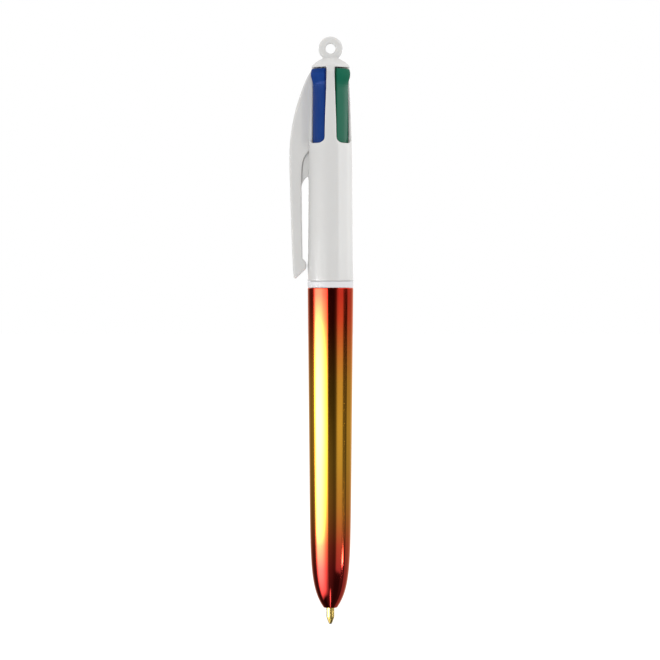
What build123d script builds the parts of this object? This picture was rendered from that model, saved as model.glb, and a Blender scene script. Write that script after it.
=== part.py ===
from build123d import *
import math
import os

# A four-colour retractable ballpoint pen. Everything is in millimetres. +Z runs up the pen from
# its writing tip, the clip is on the -X side, and the blue and green sliders face the front, -Y.
# At rest the black refill is out and its slider is latched down. The other three are up.

# Barrel, from the nose up
NOSE_END_Z = 4.23
NOSE_END_R = 1.78
NOSE_BORE_R = 1.2
BARREL_TOP_Z = 83.7
BARREL_TOP_R = 5.68
BAND_TOP_Z = 85.4
SHELL_BASE_R = 5.74
SHELL_MID_Z = 116.0
SHELL_MID_R = 5.55
SHELL_TOP_Z = 136.0
SHELL_TOP_R = 4.70
DOME_TOP_Z = 140.5
DOME_TOP_R = 2.05
SHELL_BORE_R = 4.75
BORE_TAPER_Z = 124.5
TOP_WALL = 0.8

# Slots in the shell, with a rib at each side of every slot
SLOT_BOTTOM_Z = 119.5
SLOT_TOP_Z = 138.4
SLOT_HALF_WIDTH = 2.85
SLOT_CORNER_R = 2.0
RIB_HALF_WIDTH = 1.1
RIB_INNER_R = 2.9
RIB_BOTTOM_Z = 112.1

# Threaded insert and its screw joint with the lower barrel
INSERT_BOTTOM_Z = 76.0
INSERT_TOP_Z = 93.0
SPIGOT_R = 4.55
THREAD_R = 4.75
THREAD_PITCH = 1.6
THREAD_TURNS = 4
THREAD_WIDTH = 0.6
THREAD_GAP = 0.1
GUIDE_HOLE_R = 1.35

# Sliders and the latch
STROKE = 8.0
SLIDER_R = 4.7
SLIDER_HEAD_R = 5.05
SLIDER_TOP_Z = 137.8
SLIDER_HEAD_Z = 133.4
SLIDER_BOTTOM_Z = 112.0
SLIDER_SIDE_GAP = 0.1
SLIDER_FOOT_R = 1.75
SLIDER_FOOT_Z = 110.0
SLIDER_PIN_R = 0.8
SLIDER_PIN_LENGTH = 4.0
LATCH_TOOTH_Z = 136.4
LATCH_RELIEF_Z = 129.4
LATCH_RELIEF_R = 2.5
CORE_R = 1.1
CORE_COLLAR_R = 1.65
CORE_COLLAR_Z = 130.0
CORE_COLLAR_HEIGHT = 1.2
CORE_BOTTOM_Z = 116.0
CORE_FLANGE_R = 2.2
CORE_FLANGE_HEIGHT = 0.5

# Refills: a plastic tube, a brass point and its ball
REFILL_OFFSET = 2.75
PARKED_OFFSET = 2.3
TUBE_R = 1.1
TUBE_BORE_R = 0.82
TUBE_STRAIGHT = 3.0
TUBE_BEND_TOP_Z = 75.0
POINT_R = 0.98
POINT_CONE_Z = 1.94
POINT_LIP_R = 0.40
POINT_LIP_Z = 0.28
POINT_SHOULDER_Z = 11.0
POINT_BODY_TOP_Z = 12.0
POINT_SPIGOT_R = 0.8
POINT_SPIGOT_LENGTH = 2.6
INK_CHANNEL_R = 0.3
BALL_R = 0.35
BALL_GAP = 0.01
FACE_GAP = 0.02

# Return springs
WIRE_R = 0.175
COIL_R = 1.575
COIL_TURNS = 8

# Clip: a fin moulded on the shell, a web under it, and an arm that bends about CLIP_PIVOT
CLIP_HALF_WIDTH = 1.8
FIN_ROOT_HALF_WIDTH = 1.1
FIN_ROOT_X = -5.6
WEB_HALF_WIDTH = 1.1
CLIP_PIVOT_X = -8.58
CLIP_PIVOT_Z = 107.5
CLIP_PIVOT_R = 1.41
CLIP_PIVOT_GAP = 0.06
ARM_INNER_X = -7.1
ARM_OUTER_X = -10.18
ARM_TOP_Z = 113.5

# Lanyard ring
EYE_Z = 143.05
EYE_R = 1.24
RING_R = 2.97
RING_HALF_WIDTH = 1.1
RING_EDGE_R = 0.7
RING_NECK_TOP_Z = 141.6
RING_NECK_TOP_R = 1.3
RING_PLUG_R = 1.3

# Each slider's place: the signs of its X and Y, and whether it is latched down
SLIDERS = {
    "blue": (-1, -1, False),
    "green": (1, -1, False),
    "red": (1, 1, False),
    "black": (-1, 1, True),
}


def turned(wire):
    """The solid that a closed outline of (radius, height) makes when it turns about the pen's axis."""
    return revolve(make_face(wire), Axis.Z)


def rod(radius, bottom, top, x=0.0, y=0.0):
    """A round rod along Z."""
    return Pos(x, y, bottom) * extrude(Circle(radius), top - bottom)


def outline(*points):
    """A closed outline of straight runs through (radius, height) points."""
    return Plane.XZ * Polyline(*points, close=True)


def barrel_outside():
    """The lower barrel's outer shape: a slow taper and then a rounded nose."""
    taper = Line((BARREL_TOP_R, BARREL_TOP_Z), (5.17, 30.8))
    shoulder = ThreePointArc((5.17, 30.8), (4.98, 20.5), (4.5, 12.9))
    nose = ThreePointArc((4.5, 12.9), (3.62, 8.3), (NOSE_END_R, NOSE_END_Z))
    ends = Polyline(
        (NOSE_END_R, NOSE_END_Z), (0, NOSE_END_Z), (0, BARREL_TOP_Z), (BARREL_TOP_R, BARREL_TOP_Z),
    )
    return turned(Plane.XZ * Wire([taper.edge(), shoulder.edge(), nose.edge(), *ends.edges()]))


def make_lower_barrel():
    """A thin shell with a funnel that leads the points to the nose hole, and a female thread on top."""
    hollow = turned(outline(
        (0, NOSE_END_Z - 1), (NOSE_BORE_R, NOSE_END_Z - 1), (NOSE_BORE_R, 5.2), (2.15, 6.5),
        (2.78, 8.0), (3.38, 9.95), (3.65, 12.0), (3.95, 20.0), (4.2, 33.0),
        (4.4, INSERT_BOTTOM_Z - 1), (SPIGOT_R + THREAD_GAP, INSERT_BOTTOM_Z - 1),
        (SPIGOT_R + THREAD_GAP, BARREL_TOP_Z + 1), (0, BARREL_TOP_Z + 1),
    ))
    return barrel_outside() - hollow - thread_rings(THREAD_GAP)


def thread_rings(gap=0.0):
    """The thread, as plain rings one pitch apart, each larger by a gap on every side."""
    first = INSERT_BOTTOM_Z + THREAD_WIDTH
    half = THREAD_WIDTH / 2 + gap
    rings = []
    for turn in range(THREAD_TURNS):
        middle = first + turn * THREAD_PITCH
        rings.append(rod(THREAD_R + gap, middle - half, middle + half))
    return rings


def make_threaded_insert():
    """The white band, the male thread under it, and the block with a guide hole for each refill."""
    insert = rod(SPIGOT_R, INSERT_BOTTOM_Z, BARREL_TOP_Z)
    insert += rod(BARREL_TOP_R, BARREL_TOP_Z, BAND_TOP_Z)
    insert += rod(SHELL_BORE_R, BAND_TOP_Z, INSERT_TOP_Z)
    insert += thread_rings()
    for side_x, side_y, _ in SLIDERS.values():
        x, y = diagonal(side_x, side_y, REFILL_OFFSET)
        insert -= rod(GUIDE_HOLE_R, INSERT_BOTTOM_Z - 1, INSERT_TOP_Z + 1, x, y)
    return insert


def diagonal(side_x, side_y, offset):
    """The X and Y of a point at a distance from the axis, midway between two ribs."""
    return side_x * offset / math.sqrt(2), side_y * offset / math.sqrt(2)


def shell_outside():
    """The upper barrel's outer shape, up to the flat that the lanyard ring stands on."""
    straight = Line((SHELL_BASE_R, BAND_TOP_Z), (SHELL_MID_R, SHELL_MID_Z))
    waist = ThreePointArc((SHELL_MID_R, SHELL_MID_Z), (5.25, 126.0), (SHELL_TOP_R, SHELL_TOP_Z))
    corner = ThreePointArc((SHELL_TOP_R, SHELL_TOP_Z), (4.62, 137.6), (4.3, 139.0))
    dome = ThreePointArc((4.3, 139.0), (3.4, 139.85), (DOME_TOP_R, DOME_TOP_Z))
    ends = Polyline(
        (DOME_TOP_R, DOME_TOP_Z), (0, DOME_TOP_Z), (0, BAND_TOP_Z), (SHELL_BASE_R, BAND_TOP_Z),
    )
    edges = [straight.edge(), waist.edge(), corner.edge(), dome.edge(), *ends.edges()]
    return turned(Plane.XZ * Wire(edges))


def slot_cutter(side_x, side_y):
    """The space of one slot: the quarter between two ribs, with a round lower end."""
    reach = 2 * SHELL_BASE_R
    middle = (SLOT_BOTTOM_Z + SLOT_TOP_Z) / 2
    corner = Pos(side_x * (RIB_HALF_WIDTH + reach / 2), side_y * (RIB_HALF_WIDTH + reach / 2), middle)
    quarter = corner * Box(reach, reach, SLOT_TOP_Z - SLOT_BOTTOM_Z)
    height = SLOT_TOP_Z - SLOT_BOTTOM_Z + SLOT_CORNER_R
    mouth = RectangleRounded(2 * SLOT_HALF_WIDTH, height, SLOT_CORNER_R)
    outward = Plane(
        origin=(0, 0, SLOT_BOTTOM_Z + height / 2),
        x_dir=(-side_y, side_x, 0),
        z_dir=(side_x, side_y, 0),
    )
    return quarter & extrude(outward * mouth, reach)


def guide_rib(angle):
    """One of the four walls that keep the sliders apart, reaching out past the shell's wall."""
    length = SHELL_BASE_R
    height = SLOT_TOP_Z + 1 - RIB_BOTTOM_Z
    block = Box(length, 2 * RIB_HALF_WIDTH, height)
    return Rot(0, 0, angle) * Pos(RIB_INNER_R + length / 2, 0, RIB_BOTTOM_Z + height / 2) * block


def shell_hollow():
    """The space inside the shell: a straight bore that narrows beside the slots, less the guide ribs."""
    hollow = turned(outline(
        (0, BAND_TOP_Z - 1), (SHELL_BORE_R, BAND_TOP_Z - 1), (SHELL_BORE_R, BORE_TAPER_Z),
        (SHELL_TOP_R - TOP_WALL, SLOT_TOP_Z), (0, SLOT_TOP_Z),
    ))
    for angle in range(0, 360, 90):
        hollow -= guide_rib(angle)
    return hollow


def clip_side():
    """The clip's outline seen from the front, from its root on the shell to its rounded end."""
    back = Spline(
        (-4.3, 138.2), (-5.94, 135.7), (-7.9, 130.3), (-9.4, 124.5), (-10.15, 118.5),
        (ARM_OUTER_X, ARM_TOP_Z),
    )
    arm = ThreePointArc((ARM_OUTER_X, ARM_TOP_Z), (-9.86, 102.0), (-9.3, 88.0))
    end = ThreePointArc((-9.3, 88.0), (-9.0, 86.3), (-8.3, 86.45))
    nub = Polyline(
        (-8.3, 86.45), (-6.35, 88.3), (-6.02, 89.2), (-6.9, 91.6), (ARM_INNER_X, 93.0),
        (ARM_INNER_X, ARM_TOP_Z),
    )
    under = ThreePointArc((ARM_INNER_X, ARM_TOP_Z), (-6.6, 115.9), (-5.2, 117.4))
    root = Polyline((-5.2, 117.4), (-4.3, 117.4), (-4.3, 138.2))
    edges = [*back.edges(), arm.edge(), end.edge(), *nub.edges(), under.edge(), *root.edges()]
    return Plane.XZ * make_face(Wire(edges))


def whole_clip():
    """The fin and the arm in one piece, at the arm's full width."""
    return extrude(clip_side(), CLIP_HALF_WIDTH, both=True)


def pivot_rod(radius):
    """A rod along Y on the line that the arm bends about."""
    circle = Plane.XZ * Pos(CLIP_PIVOT_X, CLIP_PIVOT_Z) * Circle(radius)
    return extrude(circle, 2 * CLIP_HALF_WIDTH, both=True)


def arm_space():
    """Everything below the line that the arm bends about."""
    size = 2 * (CLIP_PIVOT_Z - BARREL_TOP_Z)
    return Pos(CLIP_PIVOT_X, 0, CLIP_PIVOT_Z - size / 2) * Box(size, size, size)


def make_pocket_clip():
    """The part of the clip that bends, with a round head on the line it bends about."""
    clip = whole_clip()
    return (clip & arm_space()) + (clip & pivot_rod(CLIP_PIVOT_R))


def clip_root():
    """The fixed part of the clip: a fin that is narrow beside the slots, and the web under it."""
    reach = 4 * CLIP_HALF_WIDTH
    fin = whole_clip() - arm_space() - pivot_rod(CLIP_PIVOT_R + CLIP_PIVOT_GAP)
    fin -= Pos(CLIP_PIVOT_X, 0, CLIP_PIVOT_Z) * Box(reach, reach, CLIP_PIVOT_R)
    slots = SLOT_TOP_Z - SLOT_BOTTOM_Z + 2 * SLOT_CORNER_R
    for side in (-1, 1):
        middle = side * (FIN_ROOT_HALF_WIDTH + reach / 2)
        fin -= Pos(FIN_ROOT_X + reach / 2, middle, SLOT_BOTTOM_Z + slots / 2) * Box(reach, reach, slots)
    web = Plane.XZ * make_face(Wire([
        ThreePointArc((-5.2, 111.6), (-6.3, 110.9), (-7.3, 109.4)).edge(),
        *Polyline((-7.3, 109.4), (-7.6, 113.5), (-7.6, 118.0), (-5.2, 118.0), (-5.2, 111.6)).edges(),
    ]))
    return fin + extrude(web, WEB_HALF_WIDTH, both=True)


def make_upper_barrel():
    """The white shell with its slots, guide ribs, dome and the fixed part of the clip."""
    shell = shell_outside() + clip_root() - shell_hollow()
    for side_x, side_y, _ in SLIDERS.values():
        shell -= slot_cutter(side_x, side_y)
    return shell - rod(RING_PLUG_R, SLOT_TOP_Z - 1, DOME_TOP_Z + 1)


def make_latch_core():
    """The stem in the middle of the shell, with the collar that a pressed slider's tooth catches under."""
    core = rod(CORE_R, CORE_BOTTOM_Z, SLOT_TOP_Z)
    core += rod(CORE_COLLAR_R, CORE_COLLAR_Z, CORE_COLLAR_Z + CORE_COLLAR_HEIGHT)
    return core + rod(CORE_FLANGE_R, SLOT_TOP_Z - CORE_FLANGE_HEIGHT, SLOT_TOP_Z)


def make_lanyard_ring():
    """The ring, its flared neck, and the plug that goes down through the dome."""
    ring = extrude(Plane.XZ * Pos(0, EYE_Z) * Circle(RING_R), RING_HALF_WIDTH, both=True)
    ring = fillet(ring.edges().filter_by(GeomType.CIRCLE), RING_EDGE_R)
    ring -= rod(2 * RING_R, EYE_Z - 2 * RING_R, DOME_TOP_Z)
    ring += turned(outline(
        (0, DOME_TOP_Z), (DOME_TOP_R, DOME_TOP_Z), (RING_NECK_TOP_R, RING_NECK_TOP_Z), (0, RING_NECK_TOP_Z),
    ))
    ring -= extrude(Plane.XZ * Pos(0, EYE_Z) * Circle(EYE_R), 2 * RING_R, both=True)
    return ring + rod(RING_PLUG_R, SLOT_TOP_Z, DOME_TOP_Z)


def slider_body():
    """A slider's outer shape before it is cut to its slot: a bar with a swollen head."""
    head = Spline(
        (SLIDER_R, SLIDER_HEAD_Z), (4.79, 134.7), (SLIDER_HEAD_R, 136.6), (4.98, 137.4), (4.6, SLIDER_TOP_Z),
    )
    rest = Polyline(
        (4.6, SLIDER_TOP_Z), (0, SLIDER_TOP_Z), (0, SLIDER_BOTTOM_Z), (SLIDER_R, SLIDER_BOTTOM_Z),
        (SLIDER_R, SLIDER_HEAD_Z),
    )
    return turned(Plane.XZ * Wire([*head.edges(), *rest.edges()]))


def make_slider(side_x, side_y, lift):
    """A slider with its latch tooth, the foot that the spring pushes on and the pin for the tube."""
    reach = 2 * SLIDER_HEAD_R
    start = RIB_HALF_WIDTH + SLIDER_SIDE_GAP + reach / 2
    height = SLIDER_TOP_Z - SLIDER_BOTTOM_Z
    quarter = Pos(side_x * start, side_y * start, SLIDER_BOTTOM_Z + height / 2) * Box(reach, reach, height)
    slider = slider_body() & quarter
    slider -= rod(LATCH_RELIEF_R, LATCH_RELIEF_Z, LATCH_TOOTH_Z)
    x, y = diagonal(side_x, side_y, REFILL_OFFSET)
    slider += rod(SLIDER_FOOT_R, SLIDER_FOOT_Z, SLIDER_BOTTOM_Z, x, y)
    slider += rod(SLIDER_PIN_R, SLIDER_FOOT_Z - SLIDER_PIN_LENGTH, SLIDER_FOOT_Z, x, y)
    return Pos(0, 0, lift) * slider


def make_spring(side_x, side_y, lift):
    """A return spring between the insert and a slider's foot."""
    x, y = diagonal(side_x, side_y, REFILL_OFFSET)
    bottom = INSERT_TOP_Z + WIRE_R + FACE_GAP
    height = SLIDER_FOOT_Z + lift - WIRE_R - FACE_GAP - bottom
    path = Helix(height / COIL_TURNS, height, COIL_R)
    start = Plane(origin=path @ 0, z_dir=path % 0)
    return Pos(x, y, bottom) * sweep(start * Circle(WIRE_R), path, is_frenet=True)


def make_tube(side_x, side_y, lift, point_offset, point_lift):
    """A refill tube that bends from its place beside the axis to the place of its point."""
    bottom = POINT_BODY_TOP_Z + point_lift + FACE_GAP
    bend = bottom + TUBE_STRAIGHT
    middle_offset = (point_offset + REFILL_OFFSET) / 2
    first = Line((point_offset, bottom), (point_offset, bend))
    lower = TangentArc((point_offset, bend), (middle_offset, (bend + TUBE_BEND_TOP_Z) / 2), tangent=(0, 1))
    upper = TangentArc(lower @ 1, (REFILL_OFFSET, TUBE_BEND_TOP_Z), tangent=lower % 1)
    last = Line((REFILL_OFFSET, TUBE_BEND_TOP_Z), (REFILL_OFFSET, SLIDER_FOOT_Z + lift))
    outward = Plane(origin=(0, 0, 0), x_dir=(side_x, side_y, 0), z_dir=(side_y, -side_x, 0))
    path = outward * Wire([first.edge(), lower.edge(), upper.edge(), last.edge()])
    x, y = diagonal(side_x, side_y, point_offset)
    foot = Pos(x, y, bottom)
    return sweep(foot * Circle(TUBE_R), path) - sweep(foot * Circle(TUBE_BORE_R), path)


def make_point(x, y, lift):
    """A brass point: a cone, a round shank, and a spigot that the tube is pushed onto."""
    point = turned(outline(
        (0, POINT_LIP_Z), (POINT_LIP_R, POINT_LIP_Z), (POINT_R, POINT_CONE_Z),
        (POINT_R, POINT_SHOULDER_Z), (TUBE_R, POINT_SHOULDER_Z), (TUBE_R, POINT_BODY_TOP_Z),
        (POINT_SPIGOT_R, POINT_BODY_TOP_Z), (POINT_SPIGOT_R, POINT_BODY_TOP_Z + POINT_SPIGOT_LENGTH),
        (0, POINT_BODY_TOP_Z + POINT_SPIGOT_LENGTH),
    ))
    point -= Pos(0, 0, BALL_R) * Sphere(BALL_R + BALL_GAP)
    point -= rod(INK_CHANNEL_R, BALL_R, POINT_BODY_TOP_Z + 2 * POINT_SPIGOT_LENGTH)
    return Pos(x, y, lift) * point


def make_refill_set(colour, side_x, side_y, latched):
    """The five pieces of one colour, each under its own name."""
    lift = -STROKE if latched else 0.0
    point_lift = 0.0 if latched else STROKE
    point_offset = 0.0 if latched else PARKED_OFFSET
    x, y = diagonal(side_x, side_y, point_offset)
    return {
        f"{colour}_slider": make_slider(side_x, side_y, lift),
        f"{colour}_spring": make_spring(side_x, side_y, lift),
        f"{colour}_refill_tube": make_tube(side_x, side_y, lift, point_offset, point_lift),
        f"{colour}_point": make_point(x, y, point_lift),
        f"{colour}_ball": Pos(x, y, point_lift + BALL_R) * Sphere(BALL_R),
    }


pieces = {
    "lower_barrel": make_lower_barrel(),
    "threaded_insert": make_threaded_insert(),
    "upper_barrel": make_upper_barrel(),
    "pocket_clip": make_pocket_clip(),
    "latch_core": make_latch_core(),
    "lanyard_ring": make_lanyard_ring(),
}
for colour, (side_x, side_y, latched) in SLIDERS.items():
    pieces.update(make_refill_set(colour, side_x, side_y, latched))

os.makedirs("parts", exist_ok=True)
for name, piece in pieces.items():
    export_step(piece, f"parts/{name}.step")
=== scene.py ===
import math

import bmesh
import bpy
import numpy as np
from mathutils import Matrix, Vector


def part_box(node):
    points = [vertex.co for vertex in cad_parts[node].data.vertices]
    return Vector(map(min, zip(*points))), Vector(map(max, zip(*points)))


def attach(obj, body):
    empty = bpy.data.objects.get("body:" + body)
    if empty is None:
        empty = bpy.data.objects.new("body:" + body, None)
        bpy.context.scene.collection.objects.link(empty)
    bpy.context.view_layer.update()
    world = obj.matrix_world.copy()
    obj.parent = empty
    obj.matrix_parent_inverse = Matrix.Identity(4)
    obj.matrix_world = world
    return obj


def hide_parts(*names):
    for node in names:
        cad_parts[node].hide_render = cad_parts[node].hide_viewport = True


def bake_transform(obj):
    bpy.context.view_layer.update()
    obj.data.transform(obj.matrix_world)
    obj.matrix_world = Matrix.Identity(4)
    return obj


# The looks of a four-colour pen, built round its CAD frame. Shapes are worked out in millimetres
# in the part's frame and written in metres. +Z runs up the pen, the clip is at -X and the front is -Y.

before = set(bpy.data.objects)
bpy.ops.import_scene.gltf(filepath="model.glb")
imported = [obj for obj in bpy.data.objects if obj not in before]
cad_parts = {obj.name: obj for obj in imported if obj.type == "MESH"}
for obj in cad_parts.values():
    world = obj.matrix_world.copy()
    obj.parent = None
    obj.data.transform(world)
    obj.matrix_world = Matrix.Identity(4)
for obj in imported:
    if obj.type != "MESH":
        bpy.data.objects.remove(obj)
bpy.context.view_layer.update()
MM = 0.001

SIDES = {"blue": (-1, -1), "green": (1, -1), "red": (1, 1), "black": (-1, 1)}
BARREL_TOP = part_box("lower_barrel")[1][2] / MM
NOSE_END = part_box("lower_barrel")[0][2] / MM
BAND_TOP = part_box("upper_barrel")[0][2] / MM
RING_R = 2.97
RING_HOLE_R = 1.24
RING_HALF_WIDTH = 1.1
RING_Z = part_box("lanyard_ring")[1][2] / MM - RING_R

# Lower barrel: its radius at one height, its taper, how much its nose rounds off and how fast
BARREL_R = 5.17
BARREL_R_Z = 30.8
BARREL_TAPER = 0.00964
NOSE_LOSS = 3.106
NOSE_LOSS_Z = 4.42
NOSE_RATE = 0.2205
BARREL_BORE_R = 4.65
NOSE_HOLE_R = 1.2

# Threaded insert
INSERT_BOTTOM_Z = 76.0
SPIGOT_R = 4.5
SPIGOT_TOP_Z = 84.5
BLOCK_R = 4.74
INSERT_TOP_Z = 93.0
BAND_R = 5.68
THREAD_PITCH = 1.6
THREAD_DEPTH = 0.17
THREAD_TOP_Z = 82.2
GUIDE_R = 1.35

# Upper shell
SHELL_MID_Z = 116.0
SHELL_MID_R = 5.55
SHELL_TAPER = 0.0062
SHELL_WAIST = 0.0172
SHELL_WAIST_POWER = 1.3
SHELL_WAIST_HEIGHT = 20.0
SHELL_BORE_R = 4.75
WALL = 0.8
DOME_CENTRE_Z = 134.62
DOME_R = 6.25
SLOT_BOTTOM_Z = 119.5
SLOT_TOP_Z = 138.4
SLOT_LIP = 0.15
SLOT_HALF_WIDTH = 2.85
SLOT_CORNER_R = 2.0
RIB_INNER_R = 2.9
RIB_BOTTOM_Z = 112.1
RIB_HALF_WIDTH = 1.05
RIB_FLARE = 0.40
RIB_FLARE_LOSS = 0.36

# Sliders, in the place of one that is up, and the core that they latch on
SLIDER_TOP_Z = 137.9
SLIDER_BOTTOM_Z = 110.6
SLIDER_R = 4.56
SLIDER_SIDE = 1.08
HEAD_OUT = 0.53
HEAD_INSET = 0.25
PIN_TOP_Z = 111.0
PIN_BOTTOM_Z = 106.0
PIN_R = 0.8
FOOT_R = 1.75
CORE_R = 1.1
COLLAR_R = 1.75

# Refills
REFILL_OFFSET = 2.75
PARKED_OFFSET = 2.3
STROKE = 8.0
TUBE_R = 1.1
TUBE_BORE_R = 0.82
TUBE_BEND_TOP = 75.0
TUBE_FOOT = 12.0
TUBE_STRAIGHT = 3.0
POINT_R = 0.98
BALL_R = 0.35
BALL_OUT = 0.28
COIL_R = 1.575
COIL_TURNS = 8
WIRE_R = 0.175

# How finely each field is cut into cells
SHELL_CELL = 0.17
CLIP_CELL = 0.14
SLIDER_CELL = 0.13


# ---------------------------------------------------------------- fields
# A field is below zero inside a solid and above zero outside, roughly the distance in millimetres.

def both(a, b, radius=0.0):
    """Where two solids overlap, with the edge between them rounded to a radius."""
    if radius == 0:
        return np.maximum(a, b)
    corner = np.hypot(np.maximum(radius + a, 0), np.maximum(radius + b, 0))
    return np.minimum(-radius, np.maximum(a, b)) + corner


def either(a, b, radius):
    """Two solids in one, with the corner between them filled to a radius."""
    return -both(-a, -b, radius)


def smooth(value, start, end):
    """0 before start and 1 after end, easing between them."""
    t = np.clip((value - start) / (end - start), 0, 1)
    return t * t * (3 - 2 * t)


def slab(value, low, high):
    """The space between two parallel planes."""
    return np.maximum(low - value, value - high)


def inside_outline(points, x, z):
    """The distance to a closed outline in the XZ plane, below zero inside it."""
    best = np.full(x.shape, np.inf)
    within = np.zeros(x.shape, bool)
    for (ax, az), (bx, bz) in zip(points, np.roll(points, -1, axis=0)):
        ex, ez = bx - ax, bz - az
        wx, wz = x - ax, z - az
        t = np.clip((wx * ex + wz * ez) / (ex * ex + ez * ez), 0, 1)
        best = np.minimum(best, (wx - t * ex) ** 2 + (wz - t * ez) ** 2)
        crosses = (az > z) != (bz > z)
        if bz != az:
            within ^= crosses & (wx < ex * wz / ez)
    return np.where(within, -1, 1) * np.sqrt(best)


def smooth_line(points, steps=6):
    """Points along a smooth line through the given ones."""
    p = np.array(points, float)
    p = np.vstack([2 * p[0] - p[1], p, 2 * p[-1] - p[-2]])
    t = np.linspace(0, 1, steps, endpoint=False)[:, None]
    runs = []
    for a, b, c, d in zip(p[:-3], p[1:-2], p[2:-1], p[3:]):
        runs.append(b + 0.5 * t * (c - a + t * (2 * a - 5 * b + 4 * c - d + t * (3 * (b - c) + d - a))))
    return np.vstack([*runs, p[-2:-1]])


def surface_of(field, low, high, step):
    """The vertices and quads of a field's surface: one vertex in each cell that the surface crosses."""
    low = np.array(low, float)
    counts = np.ceil((np.array(high) - low) / step).astype(int) + 1
    grid = np.meshgrid(*[low[a] + step * np.arange(counts[a]) for a in range(3)], indexing="ij")
    value = field(*grid)
    solid = value < 0
    total = np.zeros((*(counts - 1), 3))
    hits = np.zeros(counts - 1)
    crossings = []
    for axis in range(3):
        near = [slice(None)] * 3
        far = [slice(None)] * 3
        near[axis], far[axis] = slice(0, -1), slice(1, None)
        place = np.argwhere(solid[tuple(near)] != solid[tuple(far)])
        others = [a for a in range(3) if a != axis]
        kept = np.all((place[:, others] > 0) & (place[:, others] < counts[others] - 1), axis=1)
        place = place[kept]
        end = place.copy()
        end[:, axis] += 1
        v0, v1 = value[tuple(place.T)], value[tuple(end.T)]
        where = place.astype(float)
        where[:, axis] += v0 / (v0 - v1)
        cells = []
        for du, dv in ((1, 1), (0, 1), (0, 0), (1, 0)):
            cell = place.copy()
            cell[:, others[0]] -= du
            cell[:, others[1]] -= dv
            np.add.at(total, tuple(cell.T), where)
            np.add.at(hits, tuple(cell.T), 1)
            cells.append(cell)
        crossings.append((axis, cells, v0 < 0))
    used = hits > 0
    index = np.full(used.shape, -1)
    index[used] = np.arange(used.sum())
    verts = low + step * total[used] / hits[used][:, None]
    quads = []
    for axis, cells, outward in crossings:
        quad = np.stack([index[tuple(cell.T)] for cell in cells], axis=1)
        flip = outward if axis == 1 else ~outward
        quad[flip] = quad[flip][:, ::-1]
        quads.append(quad)
    return settled(field, verts, step), np.vstack(quads)


def settled(field, verts, step):
    """Vertices moved along the field's slope until they lie on its surface."""
    reach = step * 0.02
    for _ in range(4):
        value = field(*verts.T)
        slope = np.zeros_like(verts)
        for axis in range(3):
            shift = np.zeros(3)
            shift[axis] = reach
            slope[:, axis] = (field(*(verts + shift).T) - field(*(verts - shift).T)) / (2 * reach)
        size = np.maximum((slope ** 2).sum(axis=1), 0.05)
        move = (value / size)[:, None] * slope
        length = np.linalg.norm(move, axis=1)[:, None]
        verts = verts - move * np.minimum(1, 0.6 * step / np.maximum(length, 1e-9))
    return verts


# ---------------------------------------------------------------- meshes

def finish_piece(name, mesh, material, body, replaced):
    """The object for a mesh, with its material, the body it rides on and the nodes it replaces."""
    mesh.materials.append(material)
    obj = bpy.data.objects.new(name, mesh)
    bpy.context.scene.collection.objects.link(obj)
    if body:
        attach(obj, body)
    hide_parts(*replaced)
    return obj


def from_field(name, field, low, high, step, material, body, replaced):
    """A smooth-shaded piece made from the surface of a field."""
    verts, quads = surface_of(field, low, high, step)
    mesh = bpy.data.meshes.new(name)
    mesh.from_pydata((verts * MM).tolist(), [], quads.tolist())
    mesh.validate()
    mesh.polygons.foreach_set("use_smooth", [True] * len(mesh.polygons))
    return finish_piece(name, mesh, material, body, replaced)


def lathe(profile, sides):
    """Vertices and faces of a closed (radius, height) outline turned about Z; radius 0 is a pole."""
    verts, rows, faces = [], [], []
    angles = np.arange(sides) * 2 * math.pi / sides
    for radius, height in profile:
        if radius < 1e-6:
            rows.append([len(verts)] * sides)
            verts.append((0, 0, height))
            continue
        rows.append(list(range(len(verts), len(verts) + sides)))
        verts += [(radius * math.cos(a), radius * math.sin(a), height) for a in angles]
    for low, high in zip(rows, rows[1:] + rows[:1]):
        for k in range(sides):
            corners = [low[k], low[(k + 1) % sides], high[(k + 1) % sides], high[k]]
            face = list(dict.fromkeys(corners))
            if len(face) > 2:
                faces.append(face)
    return np.array(verts, float), faces


def rounded(profile, radius):
    """A closed outline of straight runs with every corner off the axis rounded."""
    steps = 4
    out = []
    count = len(profile)
    for k, corner in enumerate(profile):
        b = np.array(corner, float)
        if b[0] < 1e-6:
            out.append(tuple(b))
            continue
        a, c = np.array(profile[k - 1], float), np.array(profile[(k + 1) % count], float)
        la, lc = np.linalg.norm(a - b), np.linalg.norm(c - b)
        cut = min(radius, 0.45 * la, 0.45 * lc)
        start, end = b + (a - b) / la * cut, b + (c - b) / lc * cut
        for t in np.linspace(0, 1, steps + 1):
            out.append(tuple((1 - t) ** 2 * start + 2 * t * (1 - t) * b + t * t * end))
    return out


def from_shape(name, shape, material, body, replaced, sharp=180):
    """A lathed or swept piece, smooth-shaded but for the edges that turn by more than an angle."""
    verts, faces = shape
    mesh = bpy.data.meshes.new(name)
    mesh.from_pydata((verts * MM).tolist(), [], faces)
    bm = bmesh.new()
    bm.from_mesh(mesh)
    bmesh.ops.remove_doubles(bm, verts=bm.verts, dist=1e-7)
    bmesh.ops.recalc_face_normals(bm, faces=bm.faces)
    for face in bm.faces:
        face.smooth = True
    for edge in bm.edges:
        if edge.is_manifold and edge.calc_face_angle() > math.radians(sharp):
            edge.smooth = False
    bm.to_mesh(mesh)
    bm.free()
    return finish_piece(name, mesh, material, body, replaced)


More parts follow.
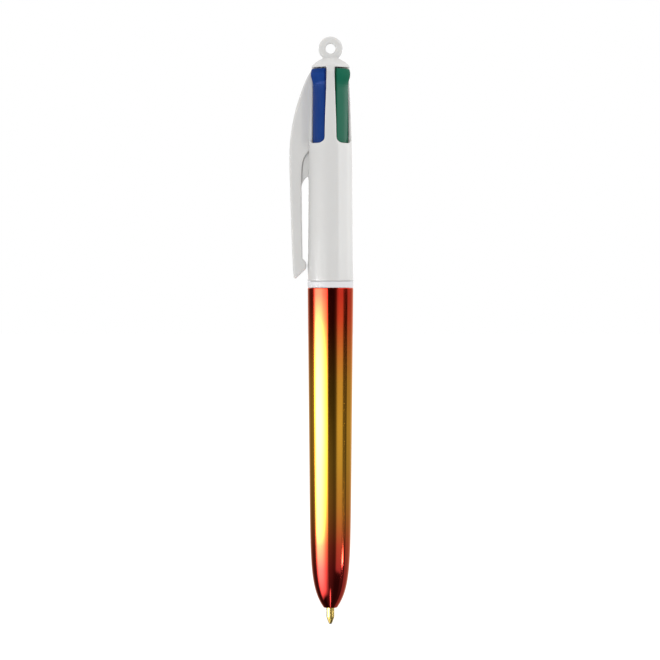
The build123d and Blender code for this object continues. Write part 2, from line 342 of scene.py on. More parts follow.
def tube_along(path, radius, sides, bore=0.0):
    """A round rod, or a tube with a bore, along a path; both ends are closed."""
    path = np.array(path, float)
    tangents = np.gradient(path, axis=0)
    tangents /= np.linalg.norm(tangents, axis=1)[:, None]
    side = np.array([1.0, 0.0, 0.0])
    rings = []
    for point, tangent in zip(path, tangents):
        side = side - tangent * (side @ tangent)
        side /= np.linalg.norm(side)
        rings.append((point, side.copy(), np.cross(tangent, side)))
    angles = np.arange(sides) * 2 * math.pi / sides
    verts, rows = [], []

    def ring(at, size):
        point, u, v = rings[at]
        rows.append(list(range(len(verts), len(verts) + sides)))
        verts.extend([tuple(point + size * (u * math.cos(a) + v * math.sin(a))) for a in angles])

    for at in range(len(path)):
        ring(at, radius)
    if bore:
        for at in reversed(range(len(path))):
            ring(at, bore)
        rows.append(rows[0])
    faces = []
    for low, high in zip(rows, rows[1:]):
        faces += [[low[k], low[(k + 1) % sides], high[(k + 1) % sides], high[k]] for k in range(sides)]
    if not bore:
        faces += [rows[0][::-1], rows[-1]]
    return np.array(verts), faces


# ---------------------------------------------------------------- materials

class Look:
    """A node material that is put together step by step."""

    def __init__(self, name):
        self.material = bpy.data.materials.new(name)
        self.material.use_nodes = True
        self.nodes = self.material.node_tree.nodes
        self.links = self.material.node_tree.links
        self.shader = self.nodes["Principled BSDF"]
        self.place = self.nodes.new("ShaderNodeTexCoord").outputs["Object"]

    def set(self, **values):
        for name, value in values.items():
            self.shader.inputs[name.replace("_", " ")].default_value = value

    def scaled(self, x, y, z):
        node = self.nodes.new("ShaderNodeMapping")
        node.inputs["Scale"].default_value = (x, y, z)
        self.links.new(self.place, node.inputs["Vector"])
        return node.outputs["Vector"]

    def noise(self, scale, detail, place=None, roughness=0.5):
        """Cloudy noise; scale is in features per metre."""
        node = self.nodes.new("ShaderNodeTexNoise")
        node.inputs["Scale"].default_value = scale
        node.inputs["Detail"].default_value = detail
        node.inputs["Roughness"].default_value = roughness
        self.links.new(place or self.place, node.inputs["Vector"])
        return node.outputs["Fac"]

    def ramp(self, value, stops):
        node = self.nodes.new("ShaderNodeValToRGB")
        node.color_ramp.interpolation = "LINEAR"
        while len(node.color_ramp.elements) < len(stops):
            node.color_ramp.elements.new(0.5)
        for element, (position, colour) in zip(node.color_ramp.elements, stops):
            element.position = position
            element.color = (*colour, 1)
        self.links.new(value, node.inputs["Fac"])
        return node.outputs["Color"]

    def between(self, value, low, high, from_low=0.3, from_high=0.7):
        node = self.nodes.new("ShaderNodeMapRange")
        node.inputs["From Min"].default_value = from_low
        node.inputs["From Max"].default_value = from_high
        node.inputs["To Min"].default_value = low
        node.inputs["To Max"].default_value = high
        self.links.new(value, node.inputs["Value"])
        return node.outputs["Result"]

    def mix(self, factor, first, second, kind="MIX"):
        node = self.nodes.new("ShaderNodeMix")
        node.data_type = "RGBA"
        node.blend_type = kind
        sockets = [s for s in node.inputs if s.enabled]
        for socket, value in zip(sockets, (factor, first, second)):
            if isinstance(value, bpy.types.NodeSocket):
                self.links.new(value, socket)
            elif isinstance(value, tuple):
                socket.default_value = (*value, 1)
            else:
                socket.default_value = value
        return [s for s in node.outputs if s.enabled][0]

    def height(self):
        """Height above the tip, in metres."""
        node = self.nodes.new("ShaderNodeSeparateXYZ")
        self.links.new(self.place, node.inputs["Vector"])
        return node.outputs["Z"]

    def painted_shade_mask(self, start, end):
        """0 close to the front and back ribs, and 1 farther from them; the mask of the painted shade beside
        the ribs.
        """
        node = self.nodes.new("ShaderNodeSeparateXYZ")
        self.links.new(self.place, node.inputs["Vector"])
        size = self.nodes.new("ShaderNodeMath")
        size.operation = "ABSOLUTE"
        self.links.new(node.outputs["X"], size.inputs[0])
        return self.between(size.outputs["Value"], 0, 1, start, end)

    def bump(self, value, depth, strength):
        node = self.nodes.new("ShaderNodeBump")
        node.inputs["Distance"].default_value = depth
        node.inputs["Strength"].default_value = strength
        self.links.new(value, node.inputs["Height"])
        self.links.new(node.outputs["Normal"], self.shader.inputs["Normal"])

    def drive(self, socket, value):
        self.links.new(value, self.shader.inputs[socket])


def moulded_plastic(name, colour, shade, gloss, specular, soft=0.0, painted_rib_shade=None, dull=None):
    """Injection-moulded plastic, faintly cloudy. It can be duller higher up, or carry painted shade, a
    darker colour, beside the ribs.
    """
    look = Look(name)
    clouds = look.noise(140, 4)
    body = look.mix(look.between(clouds, 0, 1), colour, shade)
    if painted_rib_shade:
        # painted shade: the colour turns darker where the slider runs beside the front and back ribs, as if
        # in their shadow
        body = look.mix(look.painted_shade_mask(1.30 * MM, 1.75 * MM), painted_rib_shade, body)
    look.drive("Base Color", body)
    marks = look.noise(900, 5, look.scaled(1, 1, 0.35), 0.65)
    rough = look.between(marks, gloss - 0.03, gloss + 0.05)
    look.set(IOR=1.49, Specular_IOR_Level=specular)
    if dull:
        rough = look.mix(look.between(look.height(), 0, 1, *dull), rough, (0.5, 0.5, 0.5))
        look.drive("Specular IOR Level", look.between(look.height(), specular, specular / 4, *dull))
    look.drive("Roughness", rough)
    if soft:
        look.set(Subsurface_Weight=soft, Subsurface_Radius=(1.0, 0.9, 0.8), Subsurface_Scale=0.0012)
    look.bump(look.noise(5200, 2), 0.000003, 0.3)
    return look.material


# The lower barrel's colour by height in millimetres above the tip
FADE = [
    (7, (0.42, 0.030, 0.026)), (14, (0.47, 0.034, 0.026)), (20, (0.53, 0.066, 0.028)),
    (25, (0.53, 0.145, 0.028)), (30, (0.55, 0.215, 0.028)), (40, (0.62, 0.305, 0.031)),
    (50, (0.70, 0.345, 0.033)), (60, (0.66, 0.295, 0.031)), (66, (0.66, 0.210, 0.029)),
    (70, (0.66, 0.146, 0.027)), (76, (0.68, 0.064, 0.021)), (82, (0.58, 0.034, 0.018)),
]


def metallised_plastic():
    """A tinted mirror coating that runs from red through gold to red along the barrel."""
    look = Look("metallised_plastic")
    along = look.between(look.height(), 0, 1, NOSE_END * MM, BARREL_TOP * MM)
    length = BARREL_TOP - NOSE_END
    fade = look.ramp(along, [((z - NOSE_END) / length, colour) for z, colour in FADE])
    clouds = look.noise(240, 3, look.scaled(1, 1, 0.25))
    darker = look.mix(0.10, fade, (0.45, 0.16, 0.06), "MULTIPLY")
    look.drive("Base Color", look.mix(look.between(clouds, 0, 0.6), fade, darker))
    smears = look.noise(700, 5, look.scaled(1, 1, 0.12), 0.6)
    look.drive("Roughness", look.between(smears, 0.07, 0.12))
    look.set(Metallic=1.0, Specular_Tint=(1.0, 0.84, 0.66, 1.0))
    look.bump(look.noise(260, 1, look.scaled(1, 1, 0.1)), 0.000004, 0.10)
    return look.material


def turned_metal(name, colour, shade, rough, ring_scale):
    """Lathe-turned metal: fine rings across the axis and a little tarnish."""
    look = Look(name)
    tarnish = look.noise(600, 4)
    look.drive("Base Color", look.mix(look.between(tarnish, 0, 0.7), colour, shade))
    rings = look.noise(ring_scale, 2, look.scaled(0.02, 0.02, 1))
    look.drive("Roughness", look.between(rings, rough - 0.05, rough + 0.09))
    look.set(Metallic=1.0)
    look.bump(rings, 0.000002, 0.05)
    return look.material


def drawn_wire():
    """Bright spring wire with drawing marks."""
    look = Look("spring_steel")
    clouds = look.between(look.noise(2500, 3), 0, 1)
    look.drive("Base Color", look.mix(clouds, (0.62, 0.62, 0.64), (0.45, 0.45, 0.47)))
    look.drive("Roughness", look.between(look.noise(6000, 2), 0.22, 0.38))
    look.set(Metallic=1.0)
    look.bump(look.noise(7000, 2), 0.000004, 0.3)
    return look.material


# The heights, in metres, between which the ink in a tube ends
INK_END = (0.086, 0.090)


def ink_tube(name, ink):
    """A milky tube with ink showing through most of its length and pale wall above it."""
    look = Look(name)
    level = look.between(look.height(), 0, 1, *INK_END)
    wobble = look.noise(500, 3)
    filled = look.mix(look.between(wobble, 0, 0.5), ink, tuple(0.55 * c for c in ink))
    look.drive("Base Color", look.mix(level, filled, (0.78, 0.78, 0.74)))
    look.drive("Roughness", look.between(wobble, 0.22, 0.34))
    look.set(Coat_Weight=0.4, Coat_Roughness=0.15, IOR=1.5)
    look.bump(look.noise(3000, 2), 0.000005, 0.3)
    return look.material


# The heights, in metres, between which a slider turns duller: one that is up, and the pressed one
DULL_HEAD = (0.1328, 0.1350)
PRESSED_HEAD = (0.1248, 0.1270)

# Each slider's colour, its cloudy second tone, and the painted shade beside the front and back ribs, a
# darker colour
SLIDER_COLOURS = {
    "blue": ((0.004, 0.037, 0.195), (0.003, 0.032, 0.178), (0.001, 0.013, 0.105)),
    "green": ((0.008, 0.120, 0.068), (0.007, 0.107, 0.060), (0.001, 0.040, 0.018)),
    "red": ((0.48, 0.012, 0.012), (0.44, 0.011, 0.011), (0.18, 0.004, 0.004)),
    "black": ((0.012, 0.012, 0.013), (0.010, 0.010, 0.011), (0.004, 0.004, 0.004)),
}
white = moulded_plastic(
    "white_plastic", (0.640, 0.635, 0.623), (0.628, 0.622, 0.611),
    gloss=0.11, specular=0.5, soft=0.3, dull=(0.1365, 0.1380),
)
# The clip's white is the shell's white made a little darker all over: painted shade on the clip.
clip_shaded_white = moulded_plastic(
    "clip_plastic_painted_shade", (0.606, 0.601, 0.590), (0.594, 0.588, 0.578), gloss=0.42, specular=0.1, soft=0.3,
)
band_white = moulded_plastic(
    "band_plastic", (0.690, 0.685, 0.700), (0.676, 0.671, 0.686), gloss=0.35, specular=0.2, soft=0.15,
)
SLIDER_LOOKS = {
    name: moulded_plastic(
        f"{name}_plastic", colour, shade, gloss=0.12, specular=0.15, painted_rib_shade=painted_rib_shade,
        dull=PRESSED_HEAD if name == "black" else DULL_HEAD,
    )
    for name, (colour, shade, painted_rib_shade) in SLIDER_COLOURS.items()
}
INK_LOOKS = {
    "blue": ink_tube("blue_refill", (0.02, 0.06, 0.38)),
    "green": ink_tube("green_refill", (0.02, 0.24, 0.12)),
    "red": ink_tube("red_refill", (0.48, 0.03, 0.04)),
    "black": ink_tube("black_refill", (0.03, 0.03, 0.035)),
}
metallised = metallised_plastic()
brass = turned_metal("brass", (0.66, 0.48, 0.14), (0.56, 0.40, 0.11), rough=0.34, ring_scale=2600)
ball_steel = turned_metal("ball_steel", (0.62, 0.62, 0.64), (0.48, 0.48, 0.50), rough=0.15, ring_scale=3000)
wire_steel = drawn_wire()


# ---------------------------------------------------------------- lower barrel and insert

def barrel_radius(z):
    """The lower barrel's radius: a slow taper, and a nose that rounds off exponentially."""
    loss = NOSE_LOSS * np.exp(-NOSE_RATE * (z - NOSE_LOSS_Z))
    return BARREL_R + BARREL_TAPER * (z - BARREL_R_Z) - loss


def make_lower_barrel():
    top, nose = BARREL_TOP, NOSE_END
    edge = 0.12
    rim = barrel_radius(top)
    # the rows crowd towards the nose, where the outline bends most
    rows = nose + edge + (top - nose - 2 * edge) * np.linspace(0, 1, 110) ** 1.6
    rows = np.concatenate([rows[:-1], top - np.array([0.8, 0.5, 0.3, 0.2, edge])])
    outside = [(barrel_radius(z), z) for z in rows]
    lip = [(rim, top - 0.03), (rim - 0.03, top), (BARREL_BORE_R + 0.1, top), (BARREL_BORE_R, top - 0.1)]
    inside = [
        (BARREL_BORE_R, 75.2), (4.4, 75.0), (4.2, 33.0), (3.95, 20.0), (3.65, 12.0), (3.38, 9.95),
        (2.78, 8.0), (2.15, 6.5), (NOSE_HOLE_R + 0.05, 5.2), (NOSE_HOLE_R, 5.1),
        (NOSE_HOLE_R, nose + 0.1), (NOSE_HOLE_R + 0.08, nose),
    ]
    end = barrel_radius(nose + edge)
    foot = [(end - 0.14, nose), (end - 0.03, nose + 0.04)]
    shape = lathe(outside + lip + inside + foot, sides=160)
    from_shape(
        "lower_barrel_shell", shape, metallised, "barrel", ["lower_barrel"], sharp=50,
    )


def insert_field(x, y, z):
    """The band, the spigots above and below it, a helical thread and the four guide holes."""
    r = np.hypot(x, y)
    turn = np.arctan2(y, x) / (2 * math.pi)
    wave = np.cos(2 * math.pi * ((z - INSERT_BOTTOM_Z - 0.6) / THREAD_PITCH - turn))
    starts = smooth(z, INSERT_BOTTOM_Z, INSERT_BOTTOM_Z + 0.8)
    stops = smooth(z, THREAD_TOP_Z - 0.6, THREAD_TOP_Z)
    thread = THREAD_DEPTH * wave * starts * (1 - stops)
    spigot = both(r - SPIGOT_R - np.maximum(thread, 0), slab(z, INSERT_BOTTOM_Z, SPIGOT_TOP_Z), 0.15)
    band = both(r - BAND_R, slab(z, BARREL_TOP + 0.04, BAND_TOP - 0.03), 0.13)
    block = both(r - BLOCK_R, slab(z, SPIGOT_TOP_Z, INSERT_TOP_Z), 0.2)
    solid = np.minimum(np.minimum(spigot, band), block)
    near = REFILL_OFFSET / math.sqrt(2)
    hole = np.hypot(np.abs(x) - near, np.abs(y) - near) - GUIDE_R
    return both(solid, -hole, 0.15)


def make_insert():
    from_field(
        "threaded_insert_body", insert_field, (-6.1, -6.1, 75.5), (6.1, 6.1, 93.5), SHELL_CELL,
        band_white, "barrel", ["threaded_insert"],
    )


# ---------------------------------------------------------------- upper shell and clip

def shell_radius(z):
    waist = SHELL_WAIST * np.clip(z - SHELL_MID_Z, 0, SHELL_WAIST_HEIGHT) ** SHELL_WAIST_POWER
    return SHELL_MID_R + SHELL_TAPER * np.maximum(SHELL_MID_Z - z, 0) - waist


def rib_half_width(r, z):
    """Half the width of the ribs between the slots. Their outer skin is wider towards the slots' foot."""
    skin = smooth(r, 4.62, 4.82)
    return RIB_HALF_WIDTH + skin * (RIB_FLARE - RIB_FLARE_LOSS * smooth(z, SLOT_BOTTOM_Z, 137.0))


def ring_field(x, y, z):
    """The lanyard ring: a flat-sided band with rounded edges."""
    middle, half = (RING_R + RING_HOLE_R) / 2, (RING_R - RING_HOLE_R) / 2
    radial = np.abs(np.hypot(x, z - RING_Z) - middle) - half
    return both(radial, np.abs(y) - RING_HALF_WIDTH, 0.55)


def shell_field(x, y, z):
    """The white shell: a tapering tube with a domed top and ring, guide ribs and four slots."""
    r = np.hypot(x, y)
    radius = shell_radius(z)
    dome = np.hypot(r, np.maximum(z - DOME_CENTRE_Z, 0)) - DOME_R
    diagonal = (np.abs(x) + np.abs(y)) / math.sqrt(2)
    leaning_cut = 0.64 * (diagonal - 4.6) + 0.77 * (z - SLOT_TOP_Z + 0.1)
    dome = both(dome, leaning_cut, 0.1)
    solid = both(both(r - radius, dome, 0.2), BAND_TOP + 0.03 - z, 0.15)
    solid = either(solid, both(ring_field(x, y, z), SLOT_TOP_Z + 0.6 - z), 0.4)
    solid = np.maximum(solid, RING_HOLE_R - np.hypot(x, z - RING_Z))
    width = rib_half_width(r, z)
    a, b = np.abs(x), np.abs(y)
    ribs = np.maximum(np.maximum(np.minimum(a, b) - width, RIB_INNER_R - r), RIB_BOTTOM_Z - z)
    hollow = np.maximum(r - np.minimum(SHELL_BORE_R, radius - WALL), z - SLOT_TOP_Z + SLOT_LIP)
    solid = both(solid, -both(hollow, -ribs), 0.12)
    across = np.abs(a - b) / math.sqrt(2) - SLOT_HALF_WIDTH + SLOT_CORNER_R
    below = SLOT_BOTTOM_Z + SLOT_CORNER_R - z
    mouth = np.hypot(np.maximum(across, 0), np.maximum(below, 0)) + np.minimum(np.maximum(across, below), 0)
    slot = both(both(width - a, width - b, 0.2), mouth - SLOT_CORNER_R, 0.3)
    slot = both(slot, z - SLOT_TOP_Z + SLOT_LIP, 0.15)
    return both(solid, -slot, 0.22)


def make_shell():
    from_field(
        "upper_shell", shell_field, (-6.2, -6.2, 85.0), (6.2, 6.2, 146.5), SHELL_CELL,
        white, "barrel", ["upper_barrel", "lanyard_ring"],
    )


CLIP_HALF_WIDTH = 1.8
CLIP_OUTLINE = np.vstack([
    smooth_line([
        (-4.2, 138.5), (-5.0, 137.3), (-5.94, 135.6), (-7.13, 132.7), (-8.57, 128.2), (-9.56, 123.7),
        (-10.10, 119.3), (-10.2, 114.8), (-10.08, 109.5), (-9.72, 98.4), (-9.38, 89.4), (-9.22, 87.2),
    ]),
    smooth_line([(-9.18, 86.4), (-8.95, 86.05), (-8.6, 86.05)], steps=4),
    smooth_line([
        (-6.9, 87.66), (-6.3, 88.25), (-6.04, 88.75), (-5.96, 89.3), (-6.06, 89.85), (-6.31, 90.34),
        (-6.62, 90.68), (-6.9, 90.95),
    ], steps=4),
    smooth_line([
        (-6.96, 91.3), (-7.1, 101.0), (-7.17, 108.0), (-7.12, 113.0), (-6.8, 115.2), (-6.2, 116.5),
        (-5.3, 117.6),
    ], steps=5),
    [(-4.2, 118.2)],
])
WEB_HALF_WIDTH = 1.1
WEB_GROOVE_DEPTH = 0.3
WEB_OUTLINE = np.vstack([
    smooth_line([(-5.0, 111.75), (-5.7, 111.35), (-6.4, 110.7), (-6.95, 109.7), (-7.25, 108.6)], steps=5),
    [(-7.9, 108.6), (-7.9, 119.0), (-5.0, 119.0)],
])


def clip_field(x, y, z):
    """The clip: a fin that widens away from the slots, the arm below it and a thin web behind them."""
    side = inside_outline(CLIP_OUTLINE, x, z)
    beside_slots = smooth(z, 117.0, 120.0)
    out = -x
    half = CLIP_HALF_WIDTH - 0.62 * beside_slots * (1 - smooth(out, 5.0, 7.6))
    fin = both(side, np.abs(y) - half, 0.55)
    groove = np.maximum(slab(side, -0.1, 0.16), WEB_HALF_WIDTH - WEB_GROOVE_DEPTH - np.abs(y))
    web = both(inside_outline(WEB_OUTLINE, x, z), np.abs(y) - WEB_HALF_WIDTH, 0.15)
    return np.minimum(fin, both(web, -groove, 0.06))


def make_clip():
    clip = from_field(
        "pocket_clip_moulding", clip_field, (-10.6, -2.2, 85.5), (-4.0, 2.2, 139.0), CLIP_CELL,
        clip_shaded_white, None, ["pocket_clip"],
    )
    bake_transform(clip)


# ---------------------------------------------------------------- sliders and the latch core

def slider_field(side_x, side_y, drop):
    """One slider in its slot, a drop lower than its highest place. Its head stands out of the slot."""
    near = REFILL_OFFSET / math.sqrt(2)

    def field(x, y, z):
        z = z + drop
        u, v = x * side_x, y * side_y
        r = np.hypot(x, y)
        head = smooth(z, 133.9, 136.5)
        shoulder = 0.3 * smooth(z, SLIDER_TOP_Z - 1, SLIDER_TOP_Z)
        side = SLIDER_SIDE + HEAD_INSET * smooth(z, 133.0, 134.2) * smooth(r, 4.5, 4.75)
        bar = both(r - SLIDER_R - HEAD_OUT * (head - shoulder), side - np.minimum(u, v), 0.15)
        bar = both(bar, slab(z, SLIDER_BOTTOM_Z, SLIDER_TOP_Z), 0.3)
        bar = np.maximum(bar, -both(r - 2.5, slab(z, 129.4, 136.4)))
        from_pin = np.hypot(u - near, v - near)
        foot = both(from_pin - FOOT_R, slab(z, PIN_TOP_Z - 1, PIN_TOP_Z + 1), 0.12)
        pin = both(from_pin - PIN_R, slab(z, PIN_BOTTOM_Z, PIN_TOP_Z), 0.15)
        return np.minimum(np.minimum(bar, foot), pin)

    return field


def make_slider(colour):
    side_x, side_y = SIDES[colour]
    low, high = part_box(f"{colour}_slider")
    drop = SLIDER_TOP_Z - 0.1 - high[2] / MM
    pad = 0.4
    start = [value / MM - pad for value in low]
    end = [value / MM + pad for value in high]
    from_field(
        f"{colour}_slider_button", slider_field(side_x, side_y, drop), start, end, SLIDER_CELL,
        SLIDER_LOOKS[colour], f"{colour}_slide_body", [f"{colour}_slider"],
    )


def make_core():
    """The stem between the sliders, with the collar that they latch under and a cap in the dome."""
    profile = rounded([
        (0, 116.0), (CORE_R, 116.0), (CORE_R, 130.0), (COLLAR_R, 130.0), (COLLAR_R, 131.2),
        (CORE_R, 131.2), (CORE_R, 137.9), (2 * CORE_R, 137.9), (2 * CORE_R, 138.4), (0, 138.4),
    ], radius=0.15)
    shape = lathe(profile, sides=48)
    from_shape("latch_core_stem", shape, white, "barrel", ["latch_core"])


# ---------------------------------------------------------------- refills

def tube_path(colour):
    """The middle line of a refill tube: straight at its point, bending out, and straight to its slider."""
    side_x, side_y = SIDES[colour]
    down = colour == "black"
    foot = TUBE_FOOT + (0.0 if down else STROKE) + 0.02
    top = PIN_TOP_Z - 1 - (STROKE if down else 0.0)
    start = 0.0 if down else PARKED_OFFSET
    heights = np.concatenate([
        [foot, foot + TUBE_STRAIGHT / 2],
        np.linspace(foot + TUBE_STRAIGHT, TUBE_BEND_TOP, 40),
        np.linspace(TUBE_BEND_TOP + 4, top, 8),
    ])
    offset = start + (REFILL_OFFSET - start) * smooth(heights, foot + TUBE_STRAIGHT, TUBE_BEND_TOP)
    return np.stack([side_x * offset / math.sqrt(2), side_y * offset / math.sqrt(2), heights], axis=1)


def make_tube(colour):
    path = tube_path(colour)
    tube = from_shape(
        f"{colour}_ink_tube", tube_along(path, TUBE_R, sides=24, bore=TUBE_BORE_R), INK_LOOKS[colour],
        None, [f"{colour}_refill_tube"],
    )
    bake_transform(tube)


def ball_centre(colour):
    low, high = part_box(f"{colour}_ball")
    return [(a + b) / 2 / MM for a, b in zip(low, high)]


def make_point(colour):
    """The brass point: a cone round the ball's seat, a round body, a shoulder and a plug in the tube."""
    x, y, _ = ball_centre(colour)
    # the outline's heights are measured from the ball's foot, which is this far up
    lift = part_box(f"{colour}_point")[0][2] / MM - BALL_OUT
    seat_r = BALL_R + 0.01
    angles = np.linspace(math.pi, 0.42 * math.pi, 10)[3:]
    seat = [(seat_r * math.sin(a), BALL_R - seat_r * math.cos(a)) for a in angles]
    profile = [
        (0.30, 0.70), *seat, (0.37, BALL_OUT), (0.41, 0.30), (0.72, 1.12), (0.93, 1.72), (0.975, 1.90),
        (POINT_R, 2.1), (POINT_R, 3.0), (POINT_R, 7.0), (POINT_R, 10.95), (1.02, 11.0), (1.08, 11.02),
        (TUBE_R, 11.08), (TUBE_R, 11.95), (1.05, 12.0), (0.8, 12.0), (0.8, 14.4), (0.7, 14.6), (0.3, 14.6),
    ]
    verts, faces = lathe(profile, sides=64)
    verts += np.array([x, y, lift])
    from_shape(
        f"{colour}_brass_point", (verts, faces), brass, f"{colour}_point_body",
        [f"{colour}_point"], sharp=35,
    )


def make_ball(colour):
    arc = [(BALL_R * math.sin(a), -BALL_R * math.cos(a)) for a in np.linspace(0, math.pi, 25)]
    arc[0], arc[-1] = (0, -BALL_R), (0, BALL_R)
    verts, faces = lathe(arc, sides=32)
    verts += np.array(ball_centre(colour))
    from_shape(
        f"{colour}_writing_ball", (verts, faces), ball_steel, f"{colour}_point_body",
        [f"{colour}_ball"],
    )


def make_spring(colour):
    """A return spring between the insert and its slider. The real one shortens there; this coil keeps the
    length of its part.
    """
    side_x, side_y = SIDES[colour]
    low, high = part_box(f"{colour}_spring")
    inset = WIRE_R + 0.015
    bottom, top = low[2] / MM + inset, high[2] / MM - inset
    points_per_turn = 28
    t = np.linspace(0, 1, COIL_TURNS * points_per_turn + 1)
    turn = 2 * math.pi * COIL_TURNS * t
    near = REFILL_OFFSET / math.sqrt(2)
    path = np.stack([
        side_x * near + COIL_R * np.cos(turn),
        side_y * near + COIL_R * np.sin(turn),
        bottom + (top - bottom) * t,
    ], axis=1)
    spring = from_shape(
        f"{colour}_return_spring", tube_along(path, WIRE_R, sides=10), wire_steel, None,
        [f"{colour}_spring"],
    )
    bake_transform(spring)


# ---------------------------------------------------------------- studio

# What the gloss of the pen sees round it: soft cards and the dark gaps between them. A card is a run
# of (degrees from the front, brightness), positive towards +X, and a run of (height, share) that
# fades it out, with the height in radii of the surround above or below its middle. No card's
# brightness may be over the limit.
BRIGHTNESS_LIMIT = 30.0
SURROUND_R = 1.5
SURROUND_Z = 0.106
CARDS = [
    # the room beside and behind the pen
    ([(-180, 1.0), (-160, 0.9), (-146, 0.40), (-134, 0.22), (-124, 0.08), (-110, 0.04), (-96, 0.03),
      (-88, 0.03), (-6, 0.018), (60, 0.02), (93, 0.03), (99, 0.55), (130, 0.56), (146, 0.9), (180, 1.0)],
     [(-1.0, 1.0), (1.0, 1.0)]),
    # a tall bright card to the left, which ends near the height of the lower barrel's top
    ([(-103, 0.0), (-98, 0.6), (-94, 1.6), (-89, 9.0), (-83, 22.0), (-76, 28.0), (-60, 28.0), (-48, 24.0),
      (-36, 15.0), (-26, 6.5), (-17, 3.4), (-13, 0.5), (-10, 0.0)],
     [(-0.74, 0.0), (-0.70, 0.04), (-0.60, 0.14), (-0.49, 0.20), (-0.32, 0.32), (-0.20, 0.42),
      (-0.146, 0.78), (-0.10, 1.0), (-0.075, 1.0), (-0.06, 0.75), (-0.046, 0.60), (-0.028, 0.5),
      (-0.016, 0.0)]),
    # its sharp right edge beside the top of the lower barrel
    ([(-38, 0.0), (-28, 3.0), (-19, 3.4), (-15, 0.6), (-12, 0.0)],
     [(-0.065, 0.0), (-0.046, 1.0), (-0.028, 1.0), (-0.016, 0.0)]),
    # a dim one to its left
    ([(-150, 0.0), (-130, 0.10), (-112, 0.28), (-96, 0.28), (-85, 0.0)],
     [(-0.5, 0.1), (-0.20, 0.3), (-0.146, 0.8), (-0.075, 1.0), (-0.060, 0.9), (-0.046, 0.3),
      (-0.030, 0.1), (-0.016, 0.0)]),
    # a narrow card to the right
    ([(16, 0.0), (24, 0.04), (31, 0.17), (36, 0.68), (44, 0.80), (62, 0.82), (67, 0.62), (72, 0.0)],
     [(-0.35, 0.0), (-0.33, 1.0), (-0.02, 1.0), (-0.01, 0.0)]),
    # the dim gap between it and the room
    ([(62, 0.0), (72, 1.0), (88, 1.0), (94, 0.0)],
     [(-0.7, 0.05), (-0.32, 0.13), (-0.20, 0.2), (-0.146, 0.40), (-0.12, 0.18), (-0.10, 0.11),
      (-0.075, 0.15), (-0.055, 0.04), (-0.040, 0.0)]),
    # a slit of light in the gap
    ([(71, 0.0), (74, 26.0), (79, 26.0), (83, 0.0)],
     [(-0.275, 0.0), (-0.262, 1.0), (-0.24, 0.8), (-0.22, 0.3), (-0.20, 0.0)]),
    # the table in front, seen by the lower half of the barrel
    ([(-60, 0.0), (-16, 0.34), (10, 0.22), (30, 0.06), (60, 0.06), (80, 0.0)],
     [(-0.9, 0.5), (-0.5, 0.5), (-0.22, 0.8), (-0.146, 1.0), (-0.10, 0.25), (-0.05, 0.0)]),
    # what lies straight below the nose
    ([(-6, 0.0), (-3, 5.0), (2, 5.0), (5, 0.0)],
     [(-0.99, 1.0), (-0.74, 1.0), (-0.62, 0.3), (-0.58, 0.0)]),
    # soft cards above the ones for the lower barrel, seen by the white plastic and the sliders
    ([(-180, 1.2), (-134, 1.0), (-100, 0.7), (-60, 0.6), (-26, 0.4), (-16, 0.05), (40, 0.05), (43, 2.6),
      (70, 2.3), (105, 2.1), (130, 0.8), (150, 0.4), (180, 1.0)],
     [(-0.012, 0.0), (-0.002, 1.0), (0.5, 1.0), (0.7, 0.5)]),
]


def add_sheet(name, verts, faces, material):
    mesh = bpy.data.meshes.new(name)
    mesh.from_pydata(verts, [], faces)
    mesh.polygons.foreach_set("use_smooth", [True] * len(mesh.polygons))
    mesh.materials.append(material)
    obj = bpy.data.objects.new(name, mesh)
    bpy.context.scene.collection.objects.link(obj)
    return obj


def make_floor():
    look = Look("studio_white")
    clouds = look.between(look.noise(6, 3), 0, 1)
    look.drive("Base Color", look.mix(clouds, (0.92, 0.92, 0.92), (0.90, 0.90, 0.90)))
    look.set(Roughness=0.9, Specular_IOR_Level=0.0, Emission_Color=(1, 1, 1, 1), Emission_Strength=0.10)
    reach, low = 12.0, -0.12
    corners = [(-reach, -reach, low), (reach, -reach, low), (reach, reach, low), (-reach, reach, low)]
    floor = add_sheet("studio_floor", corners, [[0, 1, 2, 3]], look.material)
    floor.visible_glossy = False


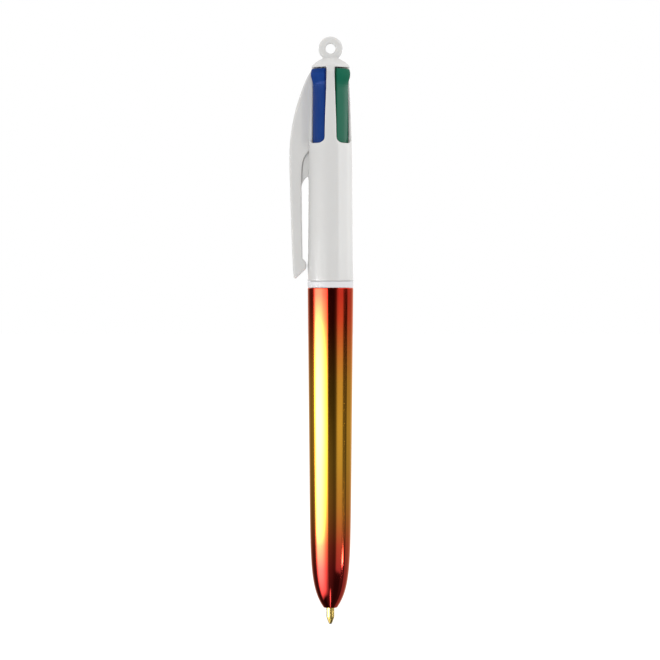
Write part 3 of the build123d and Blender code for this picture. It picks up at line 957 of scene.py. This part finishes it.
def make_cards():
    """A surround that carries the cards, and that nothing but gloss can see."""
    material = bpy.data.materials.new("studio_cards")
    material.use_nodes = True
    nodes, links = material.node_tree.nodes, material.node_tree.links
    nodes.clear()
    split = nodes.new("ShaderNodeSeparateXYZ")
    links.new(nodes.new("ShaderNodeTexCoord").outputs["Object"], split.inputs["Vector"])

    def maths(kind, *values):
        node = nodes.new("ShaderNodeMath")
        node.operation = kind
        for socket, value in zip(node.inputs, values):
            if isinstance(value, bpy.types.NodeSocket):
                links.new(value, socket)
            else:
                socket.default_value = value
        return node.outputs["Value"]

    def ramp(value, stops):
        node = nodes.new("ShaderNodeValToRGB")
        while len(node.color_ramp.elements) < len(stops):
            node.color_ramp.elements.new(0.5)
        for element, (position, level) in zip(node.color_ramp.elements, stops):
            element.position = position
            element.color = (level, level, level, 1)
        links.new(value, node.inputs["Fac"])
        return node.outputs["Color"]

    turn = maths("ARCTAN2", split.outputs["X"], maths("MULTIPLY", split.outputs["Y"], -1.0))
    around = maths("MULTIPLY_ADD", turn, 1 / (2 * math.pi), 0.5)
    height = maths("MULTIPLY_ADD", split.outputs["Z"], 1 / (2 * SURROUND_R), 0.5)
    total = 0.0
    for across, upward in CARDS:
        level = ramp(around, [((angle + 180) / 360, bright / BRIGHTNESS_LIMIT) for angle, bright in across])
        share = ramp(height, [((rise + 1) / 2, amount) for rise, amount in upward])
        total = maths("MULTIPLY_ADD", level, share, total)
    glow = nodes.new("ShaderNodeEmission")
    links.new(maths("MULTIPLY", total, BRIGHTNESS_LIMIT), glow.inputs["Strength"])
    output = nodes.new("ShaderNodeOutputMaterial")
    links.new(glow.outputs["Emission"], output.inputs["Surface"])

    sides, rows = 96, 48
    verts, faces = [], []
    for tilt in np.linspace(-math.pi / 2, math.pi / 2, rows + 1):
        for a in np.arange(sides) * 2 * math.pi / sides:
            out = SURROUND_R * math.cos(tilt)
            verts.append((out * math.sin(a), -out * math.cos(a), SURROUND_R * math.sin(tilt)))
    for row in range(rows):
        for k in range(sides):
            low, high, after = row * sides, (row + 1) * sides, (k + 1) % sides
            faces.append([low + k, low + after, high + after, high + k])
    surround = add_sheet("studio_surround", verts, faces, material)
    surround.location = (0, 0, SURROUND_Z)
    surround.visible_camera = False
    surround.visible_diffuse = False
    surround.visible_shadow = False
    surround.visible_transmission = False


def make_lights():
    """Even white light from all round, and a little more from above."""
    world = bpy.data.worlds.new("studio_world")
    world.use_nodes = True
    world.node_tree.nodes["Background"].inputs["Color"].default_value = (1.0, 1.0, 1.0, 1)
    world.node_tree.nodes["Background"].inputs["Strength"].default_value = 1.0
    bpy.context.scene.world = world
    lamp = bpy.data.lights.new("overhead", "SUN")
    lamp.energy = 0.5
    lamp.angle = math.radians(60)
    overhead = bpy.data.objects.new("overhead", lamp)
    overhead.location = (0, 0, 1)
    bpy.context.scene.collection.objects.link(overhead)


def make_camera():
    """A view across the pen from a little above its middle, and looking down towards it."""
    distance, eye_z, middle_z, view_height = 0.68, 0.083, 0.07325, 0.16400
    side, roll = -0.00012, -0.0002
    camera = bpy.data.cameras.new("camera")
    slant = math.hypot(distance, eye_z - middle_z)
    camera.angle = 2 * math.atan(view_height / 2 / slant)
    seat = bpy.data.objects.new("camera", camera)
    seat.location = (side, -distance, eye_z)
    seat.rotation_euler = (math.pi / 2 - math.atan2(eye_z - middle_z, distance), roll, 0)
    bpy.context.scene.collection.objects.link(seat)
    bpy.context.scene.camera = seat
    bpy.context.scene.view_settings.view_transform = "Standard"


make_floor()
make_cards()
make_lights()
make_camera()
make_lower_barrel()
make_insert()
make_shell()
make_clip()
make_core()
for colour in SIDES:
    make_slider(colour)
    make_tube(colour)
    make_point(colour)
    make_ball(colour)
    make_spring(colour)
